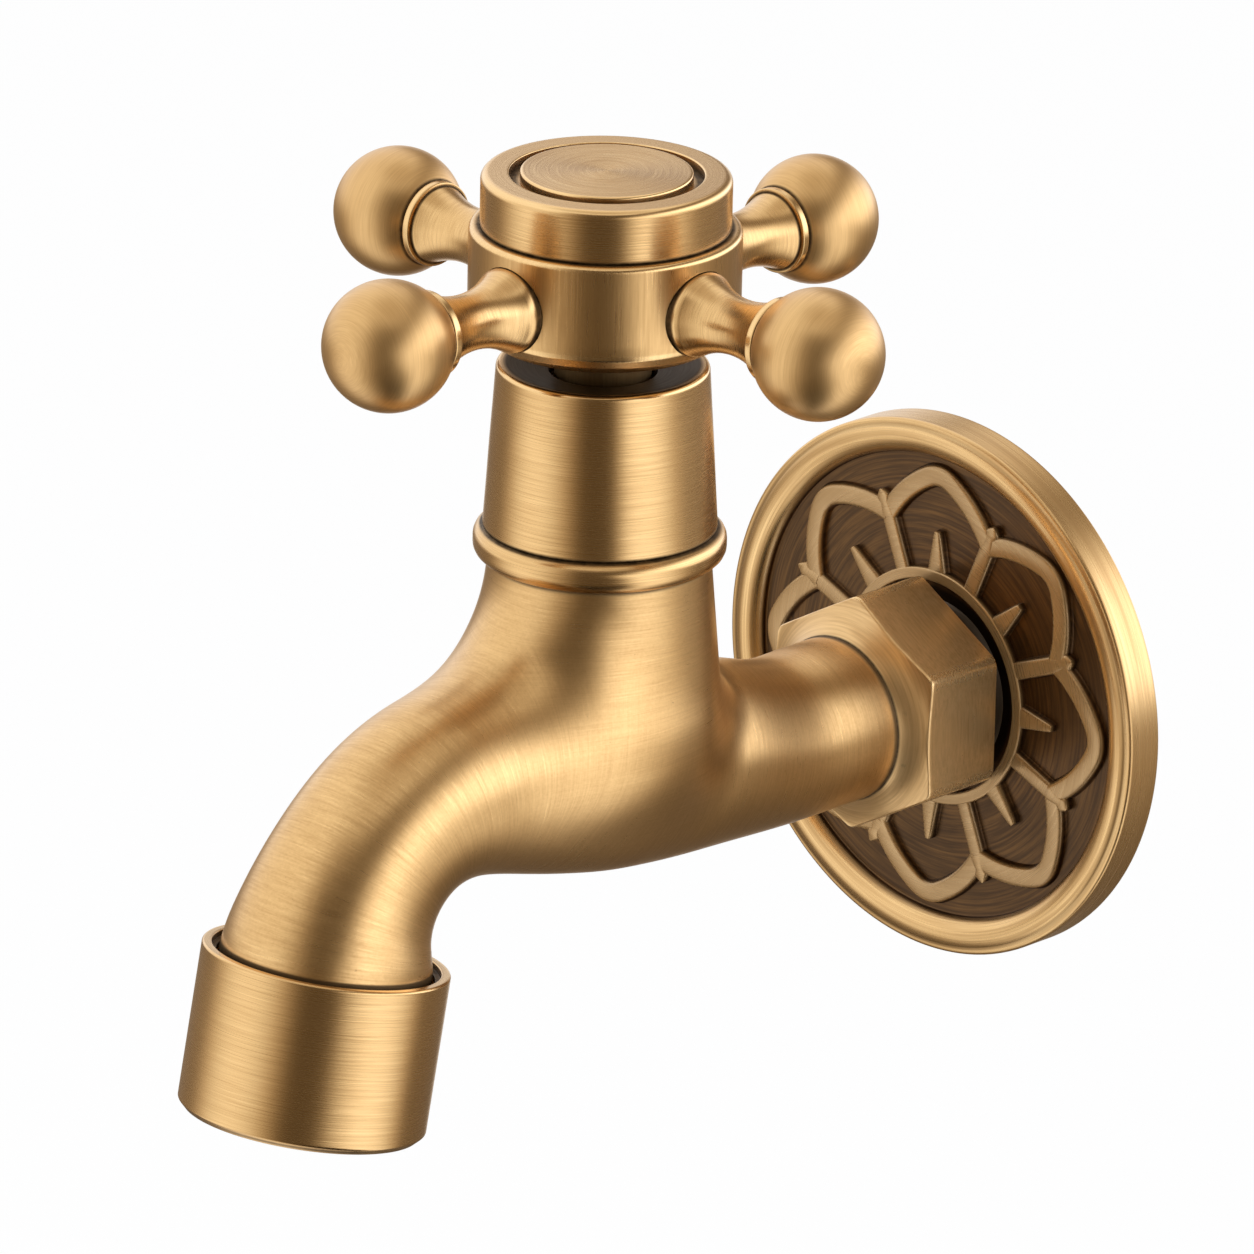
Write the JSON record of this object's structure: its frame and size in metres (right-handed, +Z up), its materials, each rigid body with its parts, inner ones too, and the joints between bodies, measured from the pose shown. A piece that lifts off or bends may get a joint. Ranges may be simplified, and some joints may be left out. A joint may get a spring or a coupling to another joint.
{
  "type": "wall-mounted cross handle tap",
  "caption": "Wall-mounted bib tap with a ball-ended cross handle, tapered bonnet, curved spout with screw-on aerator collar and a round lotus-relief wall flange.",
  "frame": {"origin": "on the inlet axis, in the plane where the back of the wall flange meets the wall", "axes": "+Z up along the handle axis, +Y into the wall along the inlet thread, spout towards -Y"},
  "size_m": [0.0844, 0.1356, 0.1116],
  "materials": {
    "cast_brass": "antique brass casting, finely brushed and lacquered",
    "turned_brass": "antique brass, brushed round the turning axis",
    "handle_brass": "antique brass, brushed with dark seams",
    "flange_brass": "antique brass with a dark brown sunk field",
    "plain_brass": "bright machined brass",
    "steel": "stainless steel",
    "seal_rubber": "black sealing rubber",
    "disc_ceramic": "lapped white ceramic",
    "white_plastic": "white moulded plastic"
  },
  "bodies": {
    "tap_body": {"inlet_tailpiece": "turned_brass", "inlet_o_ring": "seal_rubber", "body_casting": "cast_brass", "cartridge_body": "plain_brass", "cartridge_o_ring": "seal_rubber", "glide_washer": "white_plastic", "fixed_disc": "disc_ceramic", "seat_seal": "seal_rubber", "collar_ring": "turned_brass", "bonnet_shroud": "turned_brass"},
    "handle": {"handle_hub": "handle_brass", "hub_cap_ring": "turned_brass", "index_disc": "turned_brass", "handle_screw": "steel", "arm_front": "handle_brass", "arm_right": "handle_brass", "arm_back": "handle_brass", "arm_left": "handle_brass", "knob_front": "handle_brass", "knob_right": "handle_brass", "knob_back": "handle_brass", "knob_left": "handle_brass", "spindle": "plain_brass", "spindle_o_rings": "seal_rubber", "retaining_clip": "steel", "moving_disc": "disc_ceramic"},
    "flange": {"wall_flange": "flange_brass"},
    "aerator": {"aerator_washer": "seal_rubber", "aerator_housing": "white_plastic", "diffuser_plate": "white_plastic", "outlet_grid": "white_plastic"},
    "nozzle": {"nozzle_collar": "turned_brass"}
  },
  "joints": [
    {"name": "handle_turn", "type": "hinge", "parent": "tap_body", "child": "handle", "pos_m": [0, -0.06145, 0.06], "axis": [0, 0, 1], "range_deg": [0, 90]},
    {"name": "flange_slide", "type": "slide", "parent": "tap_body", "child": "flange", "axis": [0, 1, 0], "range_m": [-0.002, 0.012]},
    {"name": "aerator_travel", "type": "slide", "parent": "tap_body", "child": "aerator", "axis": [0, -0.1959, -0.9806], "range_m": [0, 0.0054]},
    {"name": "nozzle_unscrew", "type": "hinge", "parent": "aerator", "child": "nozzle", "pos_m": [0, -0.10465, -0.00798], "axis": [0, -0.1959, -0.9806], "range_deg": [0, 1940]}
  ],
  "couplings": [
    {"joint": "aerator_travel", "follows": "nozzle_unscrew", "m_per_rad": 0.00015915}
  ]
}
